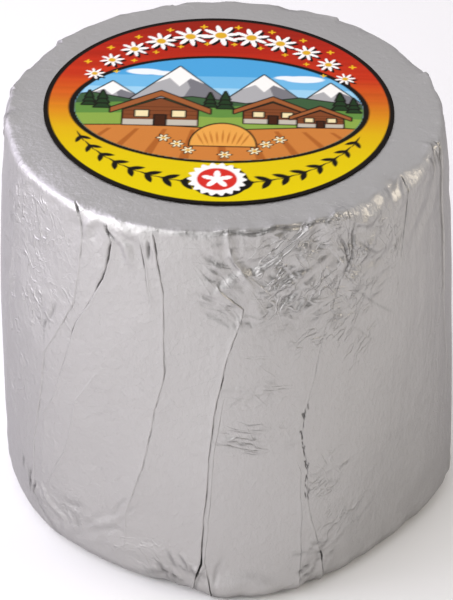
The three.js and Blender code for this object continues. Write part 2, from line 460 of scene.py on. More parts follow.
# %% Wrinkles, patch by patch
WRINKLE_PATCHES = [
    # bearing, height, half widths in degrees and mm; direction and its spread;
    # length, width, lift, painted shade in the valley; count, seed
    (8, 61, 7, 6, 10, 35, 4.0, 0.4, 0.26, 0.1, 16, 71),
    (8.5, 47.5, 11, 4.5, -5, 25, 6.0, 0.36, 0.22, 0.06, 22, 72),
    (27, 33, 5, 5, 5, 45, 3.5, 0.4, 0.3, 0.1, 14, 73),
    (-60, 78, 14, 18, 60, 50, 4.0, 0.45, 0.3, 0, 40, 74),
    (26, 86, 26, 13, 25, 60, 5.5, 0.36, 0.42, 0.1, 60, 75),
    (10, 84, 14, 9, -30, 40, 5.0, 0.45, 0.35, 0.15, 18, 76),
    (34, 19, 8, 7, 45, 20, 7.0, 0.4, 0.28, 0.1, 12, 77),
    (-46, 10, 18, 8, 40, 60, 9.0, 0.8, 0.13, 0.05, 22, 78),
    (-14, 7, 8, 5, -30, 40, 5.0, 0.5, 0.35, 0.4, 14, 79),
    (24, 9, 6, 7, 30, 50, 4.0, 0.5, 0.35, 0.35, 16, 80),
]
VALLEY_DEPTH = 0.6  # as a share of the ridge beside it
VALLEY_PLACE = 1.4  # in widths of the ridge
MOST_BOW = 0.08


def wrinkle(middle, height, direction, bow, length, width):
    across = np.radians(degrees_past(middle)) * MEAN_RADIUS
    up = level - height
    run = across * math.cos(direction) + up * math.sin(direction)
    side = up * math.cos(direction) - across * math.sin(direction) - bow * run * run
    taper = np.clip(1 - (2 * run / length) ** 2, 0, 1)
    return taper * hump(side, width), taper * hump(side + VALLEY_PLACE * width, width)


for *oval_place, direction, spread, length, width, size, painted_valley_shade, count, seed in WRINKLE_PATCHES:
    middle, height, half_turn, half_tall = oval_place
    chance = np.random.default_rng(seed)
    for number in range(count):
        off_middle = math.sqrt(chance.random())
        towards = chance.random() * math.tau
        strength = chance.uniform(0.4, 1)
        ridge, valley = wrinkle(
            middle + half_turn * off_middle * math.cos(towards),
            height + half_tall * off_middle * math.sin(towards),
            math.radians(direction + spread * chance.uniform(-1, 1)),
            chance.uniform(-MOST_BOW, MOST_BOW),
            length * chance.uniform(0.5, 1.3),
            width * chance.uniform(0.7, 1.3),
        )
        lift += size * strength * (ridge - VALLEY_DEPTH * valley)
        # Painted shade: the valley beside the wrinkle is coloured darker where shade falls
        painted_fold_shade = np.maximum(painted_fold_shade, painted_valley_shade * strength * valley)
print("with wrinkles the foil stands", lift.min().round(2), "to", lift.max().round(2), "mm off")

# %% Creases, the back last
CREASES = [
    # points of height and bearing, width and depth in mm, strength of the painted shade in the crease
    ([(72, -45.5), (66, -48.5), (63, -51), (57, -50.5)], 0.25, 0.12, 0.4),
    ([(95.5, -18), (91, -18)], 0.3, 0.35, 0.95),
    ([(96.5, -30.5), (95, -28.7), (93.5, -27)], 0.3, 0.4, 0.8),
    ([(98, -4), (98.6, 2), (97.6, 8), (98.6, 14), (97.6, 21), (98.8, 30)], 0.3, 0.35, 0.6),
    ([(97.5, -32), (95, -35), (92, -36)], 0.9, -0.5, 0),
    ([(96.5, -27.5), (93, -24), (88, -22.5)], 1.0, -0.5, 0),
    ([(97.5, -26.5), (95, -22)], 0.8, -0.4, 0),
    ([(100, -98), (98.5, -92), (97, -88)], 0.5, 0.5, 0.3),
    ([(100, -88), (98, -85)], 0.5, 0.5, 0.4),
    ([(99.5, -80), (97, -82), (94, -80)], 0.5, -0.4, 0),
    ([(100, 76), (98, 74), (95, 73)], 0.5, 0.5, 0.5),
    ([(99, 80), (97.5, 76), (94, 77)], 0.5, -0.5, 0),
    ([(98, 70), (95.5, 72), (92, 71)], 0.4, 0.4, 0.4),
    ([(17, -60), (8.5, -63)], 0.3, 0.35, 0.8),
    ([(14.5, -58), (9, -61)], 0.3, 0.3, 0.6),
    ([(19, -64), (14.5, -65)], 0.3, 0.25, 0.5),
    ([(99, 2), (92, 2.6), (88, 6), (84.5, 8)], 0.8, -0.5, 0),
    ([(87, 8), (91, 14), (96, 22)], 0.6, -0.4, 0),
    ([(82, 10), (86.5, 19), (89, 28)], 0.6, -0.35, 0),
    ([(95, 26), (89, 32), (83, 31.5)], 0.6, -0.35, 0),
    ([(83, 31.5), (86, 38), (92, 44)], 0.6, -0.35, 0),
    ([(88.7, 10.2), (91, 14), (95, 21.6)], 0.45, 0.4, 0.2),
    ([(84.5, 13), (87, 18), (88.5, 26)], 0.5, 0.45, 0.2),
    ([(80, 14), (82, 18), (85.5, 21)], 0.5, 0.4, 0.2),
    ([(93, -4.5), (91, 0)], 0.5, 0.2, 0.1),
    ([(88.5, -5), (86.5, 0.5)], 0.5, 0.22, 0.1),
    ([(84, -6), (82, -1)], 0.45, 0.18, 0.1),
    ([(79.5, -4), (76, 2.5)], 0.45, 0.22, 0.2),
    ([(94, 31), (90, 33), (86, 33.5)], 0.3, 0.35, 0.5),
    ([(91, 37), (88, 41), (86, 44)], 0.35, 0.35, 0.4),
    ([(81, 34), (76, 40), (69, 49.5)], 0.22, 0.2, 0.3),
    ([(97, 36), (88, 35), (83, 32)], 0.3, 0.3, 0.6),
    ([(72, 33), (64, 43)], 0.3, 0.15, 0.15),
    ([(11, -4), (2, -8)], 0.3, 0.3, 0.3),
    ([(14, 0.5), (10, -1.5), (2.5, -2.5)], 0.4, 0.35, 0.2),
    ([(7, 19), (8.5, 23)], 0.35, 0.4, 0.7),
    ([(5, 19.5), (6.5, 24)], 0.35, 0.4, 0.6),
    ([(18, -62.5), (8, -59), (2.5, -48.5)], 0.5, 0.25, 0.25),
    ([(8, -18), (6, -16.5), (4.2, -10)], 0.3, 0.5, 0.85),
    ([(16, -56), (11.5, -52.5), (9, -47), (3, -48)], 0.7, -0.4, 0),
    ([(15, -51.5), (14.8, -44), (17, -40)], 0.5, 0.3, 0.15),
    ([(14, -48.5), (12, -43), (6.5, -42)], 0.5, 0.35, 0.15),
    ([(8, -42), (16, -31), (21.5, -23)], 0.7, -0.3, 0),
    ([(17, -28), (21, -25), (24, -22)], 0.4, 0.2, 0.1),
    ([(16, -31), (22, -28), (25, -25)], 0.4, 0.2, 0.1),
    ([(10, -38), (14, -30), (15, -24)], 0.5, 0.25, 0.1),
    ([(92, -150), (84, -143), (78, -140)], 0.7, 0.4, 0.2),
    ([(97, 176), (88, 172), (76, 174)], 1.0, -0.4, 0),
    ([(96, 170), (88, 164), (80, 163)], 0.7, 0.4, 0.2),
    ([(90, 128), (82, 134), (79, 140)], 0.7, 0.4, 0.2),
    ([(93, 92), (85, 97), (80, 97)], 0.7, 0.4, 0.2),
    ([(94, -112), (86, -106), (82, -105)], 0.7, 0.4, 0.2),
    ([(70, -112), (62, -106)], 0.6, 0.3, 0.15),
    ([(56, 170), (51, 178), (50, 186)], 0.7, 0.3, 0.15),
    ([(44, 130), (39, 138), (38, 144)], 0.7, 0.3, 0.15),
    ([(20, -150), (12, -142), (4, -140)], 0.7, 0.4, 0.2),
    ([(18, 172), (9, 178), (3, 176)], 0.7, 0.4, 0.2),
    ([(16, 130), (7, 137)], 0.7, 0.4, 0.2),
    ([(18, 94), (10, 100), (3, 99)], 0.7, 0.4, 0.2),
]
RAISED_EDGE = 0.4  # the foil beside a crease, as a share of its depth
RAISED_PLACE = 2.2  # in widths of the crease
TAPER_POWER = 0.6  # below 1, a crease keeps its depth nearly to its ends
CREASE_STRENGTH = 0.85
CREASE_CHANGE = 0.4  # how far that strength comes and goes
CREASE_STRETCHES = (2.5, 2.5, 65)  # width and height in mm, seed


def crease_distance(points):
    nearest = np.full_like(level, np.inf)
    part_along = np.zeros_like(level)
    for place, (start, end) in enumerate(zip(points, points[1:])):
        run_up = end[0] - start[0]
        run_round = math.radians(end[1] - start[1]) * MEAN_RADIUS
        up = level - start[0]
        round_by = np.radians(degrees_past(start[1])) * MEAN_RADIUS
        part = np.clip((up * run_up + round_by * run_round) / (run_up**2 + run_round**2), 0, 1)
        away = np.hypot(up - part * run_up, round_by - part * run_round)
        part_along = np.where(away < nearest, (place + part) / (len(points) - 1), part_along)
        nearest = np.minimum(nearest, away)
    return nearest, part_along


unevenly = CREASE_STRENGTH + CREASE_CHANGE * swells(turns, level, *CREASE_STRETCHES)
unevenly = np.clip(unevenly, 0.2, 1.3)
for points, width, depth, painted_crease_shade in CREASES:
    away, part_along = crease_distance(points)
    strength = np.clip(4 * part_along * (1 - part_along), 0, 1) ** TAPER_POWER * unevenly
    lift -= strength * depth * hump(away, width)
    lift += RAISED_EDGE * strength * depth * hump(away - RAISED_PLACE * width, width)
    # Painted shade: the crease is coloured darker where shade falls in it
    painted_fold_shade = np.maximum(painted_fold_shade, strength * painted_crease_shade * hump(away, width))
print(len(CREASES), "creases pressed in")

# %% Flecks along the torn pleat
FLECKS = 26
FLECK_LEVELS = (26, 53)
FLECK_LENGTHS = (0.7, 1.6)
FLECK_LINE = [(28, 21.5), (38, 21), (47, 20), (58, 22.5)]  # height, bearing
FLECK_WIDTH = 0.15
FLECK_SHADE_WIDTH = 0.13
FLECK_DEPTH = 0.15
FLECK_PAINTED_SHADE = 0.9
chance = np.random.default_rng(81)
for number in range(FLECKS):
    fleck_level = chance.uniform(*FLECK_LEVELS)
    fleck_bearing = np.interp(fleck_level, *zip(*FLECK_LINE)) + chance.uniform(-0.45, 0.45)
    fleck_top = fleck_level + chance.uniform(*FLECK_LENGTHS)
    fleck = [(fleck_level, fleck_bearing), (fleck_top, fleck_bearing + chance.uniform(-0.6, 0.6))]
    away, part_along = crease_distance(fleck)
    lift -= FLECK_DEPTH * hump(away, FLECK_WIDTH)
    # Painted shade: each fleck's colour is darkened where shade falls in the small tear
    painted_fold_shade = np.maximum(painted_fold_shade, FLECK_PAINTED_SHADE * hump(away, FLECK_SHADE_WIDTH))
print(FLECKS, "flecks torn")

# %% The rim and the foot
RIM_FACETS = [(0.4, 4.0, 3.0, 41, 3), (0.12, 2.0, 1.6, 42, -3)]  # lift, width, height, seed, slant
LEFT_RIM_CALM = 0.4
FOOT_FACETS = (5, 3.5, 43, 2)  # width, height, seed, slant
FOOT_LIFT = 0.4
LEFT_FOOT_CALM = 0.75
LEFT_FOOT = (-40, 3, 40, 14)  # bearing, height, half widths in degrees and mm


def between(start, full, fading, end):
    return ramp(bearing, start, full) * ramp(-bearing, -end, -fading)


left_rim = between(-95, -60, -15, 5)
at_rim = ramp(level, 91, 97) * ramp(way, 0.6, 1.3) * (1 - LEFT_RIM_CALM * left_rim)
for size, wide, tall, seed, slant in RIM_FACETS:
    lift += at_rim * size * facets(turns, level, wide, tall, seed, slant)
at_foot = ramp(-level, -9, -2) * (1 - LEFT_FOOT_CALM * inside(*LEFT_FOOT))
lift += at_foot * FOOT_LIFT * facets(turns, level, *FOOT_FACETS)
off_top = ramp(way, 0.55, 1.25)  # the top stays smooth under the label
lift *= off_top
painted_fold_shade *= off_top
print("the finished foil stands", lift.min().round(2), "to", lift.max().round(2), "mm off")

# %% [markdown]
# ## Laying the tube on the cheese
#
# The section of the cheese runs from under the label over the rim, down the bellied side, round the foot
# and in under the base. It could be one curve spun round, but the rim changes on its way round. So each
# row of the tube takes its radius and height from the section at its own bearing, and the lift moves it
# outwards. The rim is a squared quarter oval, softer at the left and blunt at the right, and the top
# droops a little towards it.

# %% The rim in section
RIM_TALL, RIM_DEEP = 2.6, 1.7
SOFT_TALL, SOFT_DEEP = 0.6, 0.5  # how much more a soft rim has
RIGHT_SOFTNESS = 2.5
RIM_BLUNTNESS = 0.8  # 1 is a round edge, less is squarer, more is a chamfer
RIGHT_BLUNTNESS = 0.6  # more at the right
DROOP = 0.6
DROOP_START = 0.3  # on the way over the top
right_rim = between(30, 46, 58, 76)
soft = left_rim + RIGHT_SOFTNESS * right_rim
rim_tall = RIM_TALL + SOFT_TALL * soft
rim_deep = RIM_DEEP + SOFT_DEEP * soft
rim_turn = np.radians(90) * np.clip(way - RIM, 0, 1)
bluntness = RIM_BLUNTNESS + RIGHT_BLUNTNESS * right_rim
rim_out = np.sin(rim_turn) ** bluntness
rim_up = np.clip(np.cos(rim_turn), 0, 1) ** bluntness
droop = DROOP * np.minimum(soft, 1)
top_droop = droop * np.clip((way - DROOP_START) / (1 - DROOP_START), 0, 1) ** 2
print("the rim is", rim_tall.min().round(2), "to", rim_tall.max().round(2), "mm tall")

# %% Radius and height of every row
SIDE_STOPS = np.array([0, 35, 64, 92]) / 92  # where the stretches of the side meet, as shares of it
RIM_MEAN = 3.0
LABEL_SHADE = 36.0  # radius of the first row of the top, out of sight under the label
TUCK_RADIUS = 18.0  # the foil's gathered edge under the base
foot_turn = np.radians(90) * np.clip(way - FOOT, 0, 1)
down_side = np.interp(way, range(SIDE, FOOT + 1), SIDE_STOPS)
side_height = (HEIGHT - rim_tall) + (FOOT_ROUNDING - HEIGHT + rim_tall) * down_side
climb = (side_height - FOOT_ROUNDING) / (HEIGHT - RIM_MEAN - FOOT_ROUNDING)
belly = 2 * climb * (1 - climb)
side_radius = (1 - climb) ** 2 * BASE_RADIUS + belly * BELLY_RADIUS + climb**2 * NECK_RADIUS
foot_middle = BASE_RADIUS - FOOT_ROUNDING
stretches = [way <= RIM, way <= SIDE, way <= FOOT, way <= UNDERSIDE]
radius = np.select(stretches, [
    LABEL_SHADE + (side_radius - rim_deep - LABEL_SHADE) * way,
    side_radius - rim_deep * (1 - rim_out),
    side_radius,
    foot_middle + FOOT_ROUNDING * np.cos(foot_turn),
], foot_middle + (TUCK_RADIUS - foot_middle) * (way - UNDERSIDE))
radius[poles] = 0
height_up = np.select(stretches, [
    HEIGHT - top_droop,
    HEIGHT - droop - (rim_tall - droop) * (1 - rim_up),
    side_height,
    FOOT_ROUNDING * (1 - np.sin(foot_turn)),
], 0)
outward = np.select([way <= SIDE, way <= FOOT], [np.sin(rim_turn), 1], np.cos(foot_turn))
upward = np.select([way <= SIDE, way <= FOOT], [np.cos(rim_turn), 0], -np.sin(foot_turn))
lift[way > UNDERSIDE] = 0
print("the section is", radius.max().round(1), "mm out at its widest")

# %% The wrap in its place
TOP_OVAL = 1.0  # the top is longer by this on a diagonal
TOP_OVAL_BEARING = 135
BASE_LOBES = [(2, 0.5, 60), (3, 0.6, 60), (4, 2.0, 0), (5, 0.9, 20)]  # count, size, bearing
GLUE_RISE = 0.18  # the foil is drawn up to the label's glue
angle = np.radians(bearing)
up_share = height_up / HEIGHT
uneven = TOP_OVAL * up_share * np.cos(2 * (angle - math.radians(TOP_OVAL_BEARING)))
for count, size, lobe_bearing in BASE_LOBES:
    uneven += (1 - up_share) * size * np.cos(count * (angle - math.radians(lobe_bearing)))
foil_radius = radius + uneven * np.clip(radius / foot_middle, 0, 1) + lift * outward
glued = (way <= RIM) * ramp(-foil_radius, -44, -40.5)
foil_height = np.maximum(height_up + lift * upward + GLUE_RISE * glued, 0)
foil_points = np.stack([
    foil_radius * np.sin(angle) + axis.x + TOP_LEAN * up_share,
    -foil_radius * np.cos(angle) + axis.y,
    foil_height,
], axis=1) * MM
wrap_mesh.vertices.foreach_set("co", foil_points.ravel())
# The first attribute is painted shade for the foil's colour; the others only drive bump
for name, values in zip(["painted_fold_shade", "crumple"] + STROKE_KINDS, [painted_fold_shade, crumple, *strokes]):
    wrap_mesh.attributes.new(name, "FLOAT", "POINT").data.foreach_set("value", values)
wrap_mesh.shade_smooth()
wrap_mesh.update()
foil_wrap = bpy.data.objects.new("foil_wrap", wrap_mesh)
bpy.context.scene.collection.objects.link(foil_wrap)
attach(foil_wrap, "root")
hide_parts("foil_wrapped_cheese")
print("the wrap is", in_mm(foil_wrap.dimensions), "mm")

# %% [markdown]
# ## The foil's finish
#
# The wrap is thin aluminium laminated to paper. The metal is rolled to a satin face, so it mirrors softly
# and shows no picture of the room. Folding leaves tiny facets and scratches on it in three directions.
# These are too fine for the mesh and are bump, each kind as strong as the attribute that its patches left
# on the points.

# %% Colours and nodes
def linear(hex_colour):
    values = [int(hex_colour[place:place + 2], 16) / 255 for place in (1, 3, 5)]
    return [value / 12.92 if value <= 0.04045 else ((value + 0.055) / 1.055) ** 2.4 for value in values] + [1]


def new_material(name, settings):
    material = bpy.data.materials.new(name)
    material.use_nodes = True
    shader = material.node_tree.nodes["Principled BSDF"]
    for socket, value in settings.items():
        shader.inputs[socket].default_value = value
    return material, shader


def add_node(owner, kind, settings=None, links=None):
    node = owner.node_tree.nodes.new(kind)
    for name, value in (settings or {}).items():
        if isinstance(name, int) or name in node.inputs:
            node.inputs[name].default_value = value
        else:
            setattr(node, name, value)
    for name, socket in (links or {}).items():
        owner.node_tree.links.new(socket, node.inputs[name])
    return node


print("satin silver is", [round(value, 2) for value in linear("#b9b7b5")[:3]], "in linear light")

# %% Satin silver, with painted shade in the slots
FOIL_ROUGHNESS = 0.42
DRIFT_SIZE = 14 * MM  # the patterns are bent over this distance
DRIFT = 3 * MM  # and this far
# A soft grey mirror that takes the room's light in broad bands, with near-black painted shade in the gaps
# between its layers
foil, foil_shader = new_material("satin aluminium foil on paper", {
    "Metallic": 1, "Roughness": FOIL_ROUGHNESS, "Specular Tint": linear("#c8c7ca"),
})
painted_fold_shade_value = add_node(foil, "ShaderNodeAttribute", {"attribute_name": "painted_fold_shade"})
# Painted shade: the colour goes to near-black where the attribute marks slots, creases, valleys and flecks
foil_colour_and_shade = add_node(
    foil, "ShaderNodeMix", {"data_type": "RGBA", 6: linear("#b9b7b5"), 7: linear("#2a2826")},
    {0: painted_fold_shade_value.outputs["Fac"]},
)
foil.node_tree.links.new(foil_colour_and_shade.outputs[2], foil_shader.inputs["Base Color"])
where = add_node(foil, "ShaderNodeTexCoord").outputs["Object"]
drift = add_node(foil, "ShaderNodeTexNoise", {"Scale": 1 / DRIFT_SIZE, "Detail": 0}, {"Vector": where})
drifted = add_node(
    foil, "ShaderNodeVectorMath", {"operation": "MULTIPLY_ADD", 1: (DRIFT, DRIFT, DRIFT)},
    {0: drift.outputs["Color"], 2: where},
).outputs["Vector"]
print("the foil's colour has", len(foil.node_tree.nodes), "nodes")

# %% The smallest facets
FACET_SIZE = 2.5 * MM
FACET_TURN = math.radians(-35)
FACET_LENGTH = 2.4  # how much longer than wide
FACET_BUMP = 0.6  # steepness of the tilts
facet_place = add_node(
    foil, "ShaderNodeMapping",
    {"vector_type": "TEXTURE", "Rotation": (0, FACET_TURN, 0), "Scale": (FACET_LENGTH, 1, 1)},
    {"Vector": drifted},
).outputs["Vector"]
cells = add_node(foil, "ShaderNodeTexVoronoi", {"Scale": 1 / FACET_SIZE}, {"Vector": facet_place})
off_cell = add_node(
    foil, "ShaderNodeVectorMath", {"operation": "SUBTRACT"},
    {0: facet_place, 1: cells.outputs["Position"]},
)
tilt = add_node(
    foil, "ShaderNodeVectorMath", {"operation": "SUBTRACT", 1: (0.5, 0.5, 0.5)},
    {0: cells.outputs["Color"]},
)
tilted = add_node(
    foil, "ShaderNodeVectorMath", {"operation": "DOT_PRODUCT"},
    {0: off_cell.outputs["Vector"], 1: tilt.outputs["Vector"]},
)
crumple_value = add_node(foil, "ShaderNodeAttribute", {"attribute_name": "crumple"})
facet_height = add_node(
    foil, "ShaderNodeMath", {"operation": "MULTIPLY"},
    {0: tilted.outputs["Value"], 1: crumple_value.outputs["Fac"]},
)
relief = add_node(
    foil, "ShaderNodeBump", {"Strength": 1, "Distance": FACET_BUMP},
    {"Height": facet_height.outputs["Value"]},
)
print("facets of", FACET_SIZE / MM, "mm, tilted at random")

# %% Scratches in three directions
STROKES = [
    # kind, turn in degrees, length in widths, spacing
    ("rising", -40, 6, 1.9 * MM), ("falling", 55, 10, 2.8 * MM), ("lying", 8, 5, 1.9 * MM),
]
STROKE_WIDTH = 0.045  # as a step of the noise that the strokes follow
STROKE_BUMP = 0.13 * MM
BUNDLE_SIZE = 5.3 * MM  # strokes lie in bundles of this width
BUNDLE_LENGTH = 3
BUNDLE_EDGE = (0.42, 0.6)  # where on its noise a bundle starts and is full


def stroke_field(turn, length, spacing):
    fields = []
    for stretch, size, detail in [(length, spacing, 1), (BUNDLE_LENGTH, BUNDLE_SIZE, 0)]:
        place = add_node(
            foil, "ShaderNodeMapping",
            {"vector_type": "TEXTURE", "Rotation": (0, math.radians(turn), 0), "Scale": (stretch, 1, 1)},
            {"Vector": drifted},
        )
        noise = add_node(
            foil, "ShaderNodeTexNoise", {"Scale": 1 / size, "Detail": detail},
            {"Vector": place.outputs["Vector"]},
        )
        fields.append(noise.outputs["Fac"])
    off_line = add_node(foil, "ShaderNodeMath", {"operation": "SUBTRACT", 1: 0.5}, {0: fields[0]})
    either_side = add_node(foil, "ShaderNodeMath", {"operation": "ABSOLUTE"}, {0: off_line.outputs["Value"]})
    ridge = add_node(
        foil, "ShaderNodeMapRange", {"From Min": 0, "From Max": STROKE_WIDTH, "To Min": 1, "To Max": 0},
        {"Value": either_side.outputs["Value"]},
    )
    bundle = add_node(
        foil, "ShaderNodeMapRange", {"From Min": BUNDLE_EDGE[0], "From Max": BUNDLE_EDGE[1]},
        {"Value": fields[1]},
    )
    bundled = add_node(
        foil, "ShaderNodeMath", {"operation": "MULTIPLY"},
        {0: ridge.outputs["Result"], 1: bundle.outputs["Result"]},
    )
    return bundled.outputs["Value"]


for kind, turn, length, spacing in STROKES:
    stroke_value = add_node(foil, "ShaderNodeAttribute", {"attribute_name": kind})
    stroke_height = add_node(
        foil, "ShaderNodeMath", {"operation": "MULTIPLY"},
        {0: stroke_field(turn, length, spacing), 1: stroke_value.outputs["Fac"]},
    )
    relief = add_node(
        foil, "ShaderNodeBump", {"Strength": 1, "Distance": STROKE_BUMP},
        {"Height": stroke_height.outputs["Value"], "Normal": relief.outputs["Normal"]},
    )
print("strokes that are", ", ".join(STROKE_KINDS))

# %% Rolling grain
GRAIN_SIZE = 1.1 * MM  # real rolling marks are under 0.1 mm, so they are drawn coarser to show
GRAIN_UPRIGHT = 0.6  # marks are longer up than across
GRAIN_BUMP = 0.18 * MM
grain_place = add_node(foil, "ShaderNodeMapping", {"Scale": (1, 1, GRAIN_UPRIGHT)}, {"Vector": where})
grain = add_node(
    foil, "ShaderNodeTexNoise", {"Scale": 1 / GRAIN_SIZE, "Detail": 3},
    {"Vector": grain_place.outputs["Vector"]},
)
relief = add_node(
    foil, "ShaderNodeBump", {"Strength": 1, "Distance": GRAIN_BUMP},
    {"Height": grain.outputs["Fac"], "Normal": relief.outputs["Normal"]},
)
foil.node_tree.links.new(relief.outputs["Normal"], foil_shader.inputs["Normal"])
wrap_mesh.materials.append(foil)
print("the foil's finish has", len(foil.node_tree.nodes), "nodes")

# %% [markdown]
# ## The paper label
#
# The label is a disc of thin paper, punched out and glued on. A filled circle would be simpler, but its
# long thin faces can't carry a print. So a square grid is pressed into a disc, and its rim is drawn down
# by the paper's thickness and closed underneath. Each point of the fine grid will carry one dot of ink.

# %% A disc with a fine grid
PRINT_CELLS = 290
label_middle = (label_low + label_high) / 2
label_radius = (label_high.x - label_low.x) / 2 / MM
label_thickness = (label_high.z - label_low.z) / MM
sheet = bmesh.new()
bmesh.ops.create_grid(sheet, x_segments=PRINT_CELLS, y_segments=PRINT_CELLS, size=1)
for point in sheet.verts:
    across, back = point.co.x, point.co.y
    point.co.x = across * math.sqrt(1 - back**2 / 2)
    point.co.y = back * math.sqrt(1 - across**2 / 2)
bmesh.ops.scale(sheet, vec=(label_radius, label_radius, 1), verts=sheet.verts[:])
outer_edges = [edge for edge in sheet.edges if edge.is_boundary]
drawn = bmesh.ops.extrude_edge_only(sheet, edges=outer_edges)["geom"]
low_points = [item for item in drawn if isinstance(item, bmesh.types.BMVert)]
low_edges = [item for item in drawn if isinstance(item, bmesh.types.BMEdge)]
bmesh.ops.translate(sheet, vec=(0, 0, -label_thickness), verts=low_points)
bmesh.ops.edgeloop_fill(sheet, edges=low_edges)
bmesh.ops.recalc_face_normals(sheet, faces=sheet.faces[:])
sheet_mesh = bpy.data.meshes.new("printed_label")
sheet.to_mesh(sheet_mesh)
sheet.free()
spots = mesh_points(sheet_mesh)
x, y = spots[:, 0], spots[:, 1]
print("the label has", len(x), "points,", round(2 * label_radius / PRINT_CELLS, 2), "mm apart")

# %% [markdown]
# ## Shapes to print with
#
# A printed shape is described by its depth: how far inside its outline a point lies, in millimetres.
# Painting lays a colour wherever the depth is positive and softens the edge over one cell. The smaller of
# two depths is the part two shapes share, which is how the picture is kept inside its oval.

# %% Depths and paint
PRINT_EDGE = 0.28
PETAL_DEPTH = 0.32  # the notch between petals, as a share of the flower
BLACK = "#17130f"
ink = np.zeros((len(x), 3))


def paint(depth, colour):
    cover = np.clip(depth / PRINT_EDGE + 0.5, 0, 1)[:, None]
    ink[:] = ink * (1 - cover) + np.array(linear(colour)[:3]) * cover


def oval(middle_x, middle_y, half_x, half_y):
    return (1 - np.hypot((x - middle_x) / half_x, (y - middle_y) / half_y)) * min(half_x, half_y)


def polygon(*corners):
    nearest = np.full_like(x, np.inf)
    inner = np.zeros(len(x), bool)
    for (from_x, from_y), (to_x, to_y) in zip(corners, corners[1:] + corners[:1]):
        run_x = to_x - from_x
        run_y = to_y - from_y
        part = np.clip(((x - from_x) * run_x + (y - from_y) * run_y) / (run_x**2 + run_y**2), 0, 1)
        nearest = np.minimum(nearest, np.hypot(x - from_x - part * run_x, y - from_y - part * run_y))
        if run_y:
            crossed = (from_y > y) != (to_y > y)
            inner ^= crossed & (x < from_x + (y - from_y) * run_x / run_y)
    return np.where(inner, nearest, -nearest)


def block(left, right, low, high):
    return polygon((left, low), (right, low), (right, high), (left, high))


def below(*crest):
    return np.interp(x, *zip(*crest)) - y


def flower(middle_x, middle_y, size, petals, turn=0.0):
    around = np.arctan2(y - middle_y, x - middle_x) - turn
    edge = size * (1 - PETAL_DEPTH + PETAL_DEPTH * np.cos(petals * around))
    return edge - np.hypot(x - middle_x, y - middle_y)


def leaf(middle_x, middle_y, half_length, half_width, turn):
    run = (x - middle_x) * math.cos(turn) + (y - middle_y) * math.sin(turn)
    side = (y - middle_y) * math.cos(turn) - (x - middle_x) * math.sin(turn)
    curve = (half_length**2 + half_width**2) / (2 * half_width)
    return curve - np.hypot(run, np.abs(side) + curve - half_width)


def on_arc(arc_radius, degrees_from_back):
    turn = math.radians(degrees_from_back)
    return arc_radius * math.sin(turn), arc_radius * math.cos(turn)


print("a flower covers", int((flower(0, 0, 3, 6) > 0).sum()), "points")

# %% [markdown]
# ## The ground colour
#
# The print runs from deep red at the back through orange to yellow at the front, with a black border.
# Faint brush-like streaks lie across the red.

# %% Red to yellow
GROUND = [
    # millimetres back from the label's middle, colour
    (-39, "#dcc702"), (-20, "#d9be06"), (-10, "#d7ac10"), (-3, "#d28818"), (4, "#ca601c"), (13, "#c03518"),
    (24, "#b02615"), (38, "#8a2012"),
]
STREAKS = [(1, 26, 0.7, 91), (0.6, 60, 1.6, 92)]  # share, length and width in mm, seed
STREAK_SHADE = 0.08
ground_y = [stop for stop, colour in GROUND]
ground_inks = np.array([linear(colour)[:3] for stop, colour in GROUND])
for channel in range(3):
    ink[:, channel] = np.interp(y, ground_y, ground_inks[:, channel])
label_turns = x / ROUND + 0.5
streaks = sum(size * swells(label_turns, y, long, wide, seed) for size, long, wide, seed in STREAKS)
ink *= (1 + STREAK_SHADE * streaks * ramp(y, -8, 6))[:, None]
print("ground laid over", len(ink), "points")

# %% [markdown]
# ## The picture
#
# In the middle is an oval landscape in flat colours with black outlines, as on a shop label. It is
# painted from the far sky to the near flowers, so what is nearer covers what is behind it.

# %% The oval and its sky
PICTURE_X, PICTURE_Y = 32.0, 21.5
PICTURE_RING = 1.0
OUTLINE = 0.4
FLAT_CLOUD = 0.32  # height of a cloud, as a share of its length
CLOUDS = [(-17, 14.5, 4.0), (-13, 14, 3.0), (19, 12.5, 4.5), (15, 13, 2.6)]  # middle, half length
picture = oval(0, -0.5, PICTURE_X, PICTURE_Y)
paint(picture + PICTURE_RING, BLACK)


def fill(depth, colour, outlined=False):
    if outlined:
        paint(np.minimum(depth + OUTLINE, picture), BLACK)
    paint(np.minimum(depth, picture), colour)


fill(picture, "#4b9fd2")
fill(13 - y, "#6fb4dc")
fill(8 - y, "#9bcbe4")
for cloud_x, cloud_y, cloud_size in CLOUDS:
    fill(oval(cloud_x, cloud_y, cloud_size, cloud_size * FLAT_CLOUD), "#e9eef0")
print("sky with", len(CLOUDS), "clouds")

# %% Mountains, hills and fields
PEAKS = [(-24, 10, 13), (-9, 17, 16), (10, 14, 14), (25, 11, 12)]  # middle, top, half width at the foot
PEAK_FOOT = -4
SNOW = 0.34  # share of a peak that is white
for peak_x, top, half in PEAKS:
    mountain = polygon((peak_x - half, PEAK_FOOT), (peak_x, top), (peak_x + half, PEAK_FOOT))
    fill(mountain, "#a9a8a8", outlined=True)
    shaded_side = polygon(
        (peak_x, top), (peak_x + half, PEAK_FOOT), (peak_x - half * 0.1, PEAK_FOOT),
        (peak_x + half * 0.15, top - 9),
    )
    fill(shaded_side, "#77767a")
    drop = (top - PEAK_FOOT) * SNOW
    snow = polygon(
        (peak_x, top), (peak_x + half * SNOW, top - drop), (peak_x + half * 0.15, top - drop * 0.7),
        (peak_x, top - drop * 1.2), (peak_x - half * 0.14, top - drop * 0.7),
        (peak_x - half * SNOW, top - drop),
    )
    fill(snow, "#f1efe9")
hills = below((-40, 3), (-28, 5), (-18, 2), (-6, 4), (6, 1.5), (18, 4.5), (30, 2), (40, 4))
fill(hills, "#3d5b3a", outlined=True)
fill(below((-40, 0), (-22, 1.5), (-8, -1), (8, 1), (22, -0.5), (40, 1)), "#5f8a3e")
